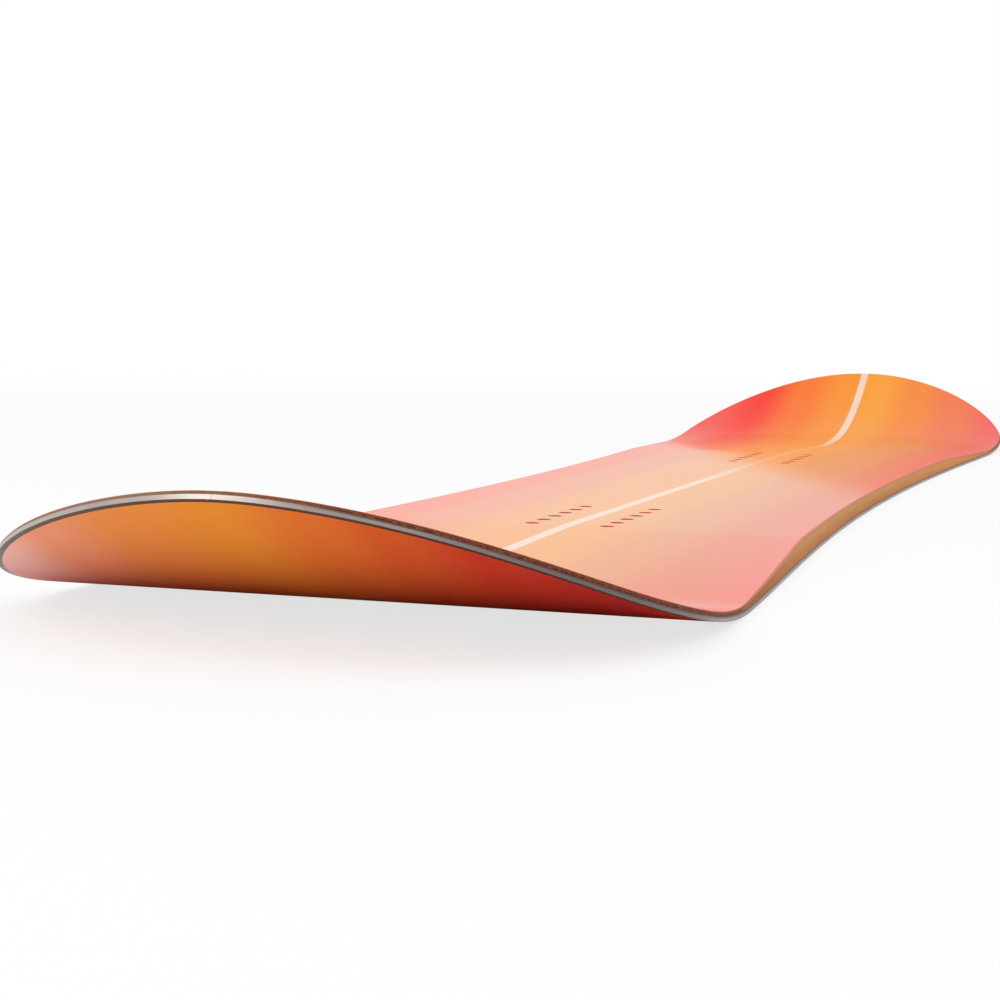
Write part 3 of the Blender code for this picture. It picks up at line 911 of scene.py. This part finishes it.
tap = add(bpy.ops.mesh.primitive_circle_add, vertices=3, radius=groove_size,
          rotation=(math.pi / 2, math.pi / 2, 0),
          location=(thread_radius - groove_size, 0, thread_start))
bpy.ops.object.transform_apply(location=True, rotation=True)
helix = tap.modifiers.new("helix", "SCREW")
helix.steps = helix.render_steps = 28
helix.screw_offset = thread_pitch
helix.iterations = thread_turns
helix.use_smooth_shade = False
apply(tap, helix)
pick_corners(tap, lambda place: True)
bpy.ops.mesh.fill_holes(sides=3)
bpy.ops.mesh.normals_make_consistent(inside=False)
close_edit()
tapped = insert.modifiers.new("tapped", "BOOLEAN")
tapped.object = tap
apply(insert, tapped)
bpy.data.objects.remove(tap, do_unlink=True)
print("threaded insert:", len(insert.data.polygons), "faces")

# %% [markdown]
# One insert is enough, because all are alike. It is copied to every place, each copy with its own
# mesh, and the place is put into the mesh, as it is in the model's own nodes.

# %% Inserts in their places
thread_steel = insert_steel()
for name, station, side in insert_places():
    piece = copy_of(insert, "threaded_" + name)
    piece.location = (station - middle, side, 0)
    bpy.ops.object.transform_apply(location=True)
    dress(piece, thread_steel, "insert_steel", name)
bpy.data.objects.remove(insert, do_unlink=True)
print("inserts:", len(list(insert_places())))

# %% [markdown]
# The sidewalls fill the space between the wood and the ground side. They are one band round the
# rim, cut off at both tip spacers and parted on the centre line. Its upper rings follow the start
# of the rounded rim.

# %% Sidewalls
sidewall_width = 0.008
rounding_drops = (1.5, 1.35, 1.2, 1.05)


def halves(piece, name):
    """Parts a band on the centre line, and gives the left and the right piece."""
    left = copy_of(piece, name + "_left")
    cut(left, (0, glue_line / 2, 0), (0, -1, 0))
    right = copy_of(piece, name + "_right")
    cut(right, (0, -glue_line / 2, 0), (0, 1, 0))
    bpy.data.objects.remove(piece, do_unlink=True)
    return left, right


side_band = band("side_band", [
    (0, core_low), *[(ground, topsheet_top - drop * millimetre) for drop in rounding_drops],
    (ground, core_top), (sidewall_width, core_top), (sidewall_width, core_low)])
cut(side_band, (tail_joint + glue_line / 2, 0, 0), (-1, 0, 0))
cut(side_band, (nose_joint - glue_line / 2, 0, 0), (1, 0, 0))
for piece, node in zip(halves(side_band, "side_plastic"), ("sidewall_left", "sidewall_right")):
    dress(press(piece), side_plastic, "sidewall_plastic", node)

# %% [markdown]
# Each steel edge has flat tabs that reach over the base, so that the glass and resin above can hold
# it. They are rolled and punched with the bar in one piece. A walk along the rim finds their places:
# they keep an even distance, centred between the ends of the edge.

# %% Places of the tabs
tab_reach, tab_length, tab_pitch = 0.006, 0.024, 0.040


def tab_places():
    """Evenly spaced places along the left rim, each with the turn of its inward direction."""
    rim = [corner.co for corner in outline.data.vertices if corner.co.y > -glue_line]
    rim.sort(key=lambda place: place.x)
    lengths = [(end - start).length for start, end in zip(rim, rim[1:])]
    count = int(sum(lengths) / tab_pitch)
    target = (sum(lengths) - (count - 1) * tab_pitch) / 2
    for start, end, length in zip(rim, rim[1:], lengths):
        while 0 <= target < length:
            along = (end - start) / length
            yield start + along * target, math.atan2(-along.x, along.y)
            target += tab_pitch
        target -= length


left_tabs = list(tab_places())
print("tabs on each edge:", len(left_tabs))

# %% [markdown]
# One tab is made beside the world's origin, from a cube whose two outer upright edges are bevelled
# round. It starts inside the bar, so that the two can be joined to one solid. Then it is copied and
# turned to every place on the left, and mirrored to the right.

# %% Anchor tabs
corner_radius = 0.0015
root, tip = edge_width / 2, edge_width + tab_reach

tab = add(bpy.ops.mesh.primitive_cube_add, size=1,
          location=((root + tip) / 2, 0, (tab_low + tab_top) / 2),
          scale=(tip - root, tab_length, tab_top - tab_low))
bpy.ops.object.transform_apply(location=True, scale=True)


def outer_upright(edge):
    start, end = (tab.data.vertices[number].co for number in edge.vertices)
    upright = abs(start.z - end.z) > tab_top - tab_low - merge_distance
    return upright and min(start.x, end.x) > edge_width


pick_parts(tab, "EDGE", outer_upright)
bpy.ops.mesh.bevel(offset=corner_radius, segments=4, affect="EDGES")
close_edit()
tabs = []
for place, turn in left_tabs:
    for side in (1, -1):
        tabs.append(copy_of(tab, "tab"))
        tabs[-1].location = (place.x, side * place.y, 0)
        tabs[-1].rotation_euler = (0, 0, side * turn)
bpy.data.objects.remove(tab, do_unlink=True)
pick(*tabs)
bpy.ops.object.join()
bpy.ops.object.transform_apply(location=True, rotation=True)
tabs = bpy.context.object
print("tabs:", len(tabs.data.vertices), "corners")

# %% [markdown]
# The bar runs right round the rim as one band, is joined with its tabs by a Boolean union, and is
# parted into the two edges. Its outer face has an extra ring. The faces between that ring and the
# top get a second finish, the brown line.

# %% Steel edges
brown_line_foot = 0.0013
steel = edge_steel("edge_steel", brown_topped=False)
brown_line = edge_steel("brown_line", brown_topped=True)
edge_band = band("edge_band", [(0, 0), (0, brown_line_foot), (0, edge_top), (edge_width, edge_top),
                               (edge_width, 0)])
rolled = edge_band.modifiers.new("rolled", "BOOLEAN")
rolled.operation = "UNION"
rolled.object = tabs
apply(edge_band, rolled)
bpy.data.objects.remove(tabs, do_unlink=True)


def above_brown_line_foot(piece, face):
    """Whether a face reaches from the brown line's foot to the top of the steel."""
    heights = [piece.data.vertices[number].co.z for number in face.vertices]
    return (abs(min(heights) - brown_line_foot) < merge_distance
            and abs(max(heights) - edge_top) < merge_distance)


for piece, node in zip(halves(edge_band, "ground_edge"), ("steel_edge_left", "steel_edge_right")):
    for face in piece.data.polygons:
        face.material_index = int(above_brown_line_foot(piece, face))
    dress(press(piece, squeezed=False), steel, "edge_steel", node)
    piece.data.materials.append(brown_line)

# %% [markdown]
# Flat shop tools are done with, so they go. What stays hidden inside the board keeps its shape
# from the model, and gets the look of its stuff for when the board is taken apart. The core is
# glued from strips of pale and dark wood in turn, with their grain along the board, and rubber
# foils damp the steel edges.

# %% Finishes of the inner pieces
for tool in (outline, press_line):
    bpy.data.objects.remove(tool, do_unlink=True)


def wood(name, light, dark):
    finish = Finish(name, {"Roughness": 0.6})
    grain = finish.noise(finish.stretched((4, 160, 160)), 1.0, 4.0)
    finish.set("Base Color", finish.blend(finish.ease(grain, 0.35, 0.7), light, dark))
    finish.bump(grain, 0.00005)
    return finish.material


def rubber():
    finish = Finish("rubber_foil", {"Roughness": 0.8})
    grain = finish.noise(finish.place, 900.0)
    finish.set("Base Color", finish.blend(grain, paint(30, 30, 30), paint(52, 52, 50)))
    finish.bump(grain, 0.00002)
    return finish.material


poplar = wood("core_poplar", paint(222, 190, 146), paint(196, 158, 110))
beech = wood("core_beech", paint(190, 142, 98), paint(160, 110, 70))
foil_rubber = rubber()
for name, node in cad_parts.items():
    if name.startswith(("core_strip", "rubber_foil")):
        strip_wood = beech if name.endswith(("1", "3", "5")) else poplar
        node.data.materials.clear()
        node.data.materials.append(foil_rubber if name.startswith("rubber") else strip_wood)
print("inner finishes:", poplar.name, beech.name, foil_rubber.name)

# %% [markdown]
# The board lies on a plain pale floor. A floor in a white room would still show a horizon, so the
# camera sees most of the floor glow by itself, and all of it further off. A Mix Shader does that:
# its factor is the share of glow, and it is 0 for all rays but the camera's.

# %% Floor
white = (1, 1, 1, 1)
floor_size, floor_height = 30, -0.0002
near_glow, glow_start, glow_end = 0.72, 0.2, 3.0

floor = add(bpy.ops.mesh.primitive_plane_add, size=floor_size, location=(0, 0, floor_height))
floor.name = "floor"
floor_paint = Finish("floor_paint", {"Roughness": 0.9, "Base Color": paint(246, 246, 246)})
glow = floor_paint.node("ShaderNodeEmission", {}, {"Color": white})
seen = floor_paint.node("ShaderNodeLightPath", {}, {}, "Is Camera Ray")
from_board = floor_paint.node("ShaderNodeVectorMath", {"operation": "LENGTH"},
                              {0: floor_paint.place}, "Value")
glow_share = near_glow + (1 - near_glow) * floor_paint.ease(from_board, glow_start, glow_end)
painted = Value(floor_paint, floor_paint.shader.outputs[0])
clean = floor_paint.node("ShaderNodeMixShader", {}, {0: seen * glow_share, 1: painted, 2: glow})
floor_paint.feed(floor_paint.tree.nodes["Material Output"].inputs["Surface"], clean)
floor.data.materials.append(floor_paint.material)
print("floor:", floor_size, "m wide, its glow full from", glow_end, "m on")

# %% [markdown]
# The room is a white world. The camera and shiny surfaces see it as clean white. Everything else is
# lit by it at a lower level, which keeps the colours from washing out.

# %% White room
lit_level = 0.85

world = bpy.data.worlds.new("white_room")
bpy.context.scene.world = world
room = Nodes(world)
lighting = room.node("ShaderNodeBackground", {}, {"Color": white, "Strength": lit_level})
backdrop = room.node("ShaderNodeBackground", {}, {"Color": white, "Strength": 1.0})
seen = room.node("ShaderNodeLightPath", {}, {}, "Is Camera Ray")
mirrored = room.node("ShaderNodeLightPath", {}, {}, "Is Glossy Ray")
walls = room.node("ShaderNodeMixShader", {}, {0: seen + mirrored, 1: lighting, 2: backdrop})
room.feed(room.tree.nodes["World Output"].inputs["Surface"], walls)
print("room lights at", lit_level)

# %% [markdown]
# Two soft lamps shape the board. A large one, high on the right, gives the floor its shadow, and a
# smaller one behind the tail, on the left, makes the steel there shine.

# %% Lamps
def lamp(name, place, aim, size, power):
    light = add(bpy.ops.object.light_add, type="AREA", location=place)
    light.name = name
    light.data.size = size
    light.data.energy = power
    light.rotation_euler = (Vector(aim) - Vector(place)).to_track_quat("-Z", "Y").to_euler()
    print(name, "at", place)


lamp("key_lamp", place=(-1.2, -1.8, 2.4), aim=(0, 0, 0), size=2.0, power=9)
lamp("rim_lamp", place=(-1.37, 0.74, 1.32), aim=(-0.72, 0, 0.06), size=0.9, power=5)

# %% [markdown]
# The camera stands low behind the tail, a little to its right, and looks along the board. Its place,
# its turn and its focal length were found together, so that the outlines fall where they do in the
# photograph.

# %% Camera
camera_place = (-1.32081, -0.2953, 0.11681)
camera_degrees = (84.7828, -0.7927, -71.6632)

camera = add(bpy.ops.object.camera_add, location=camera_place,
             rotation=[math.radians(turn) for turn in camera_degrees])
camera.data.lens = 73.788
camera.data.sensor_width = 36
camera.data.clip_start = 0.01
bpy.context.scene.camera = camera
bpy.context.scene.view_settings.view_transform = "Standard"
print("camera:", camera.data.lens, "mm lens")
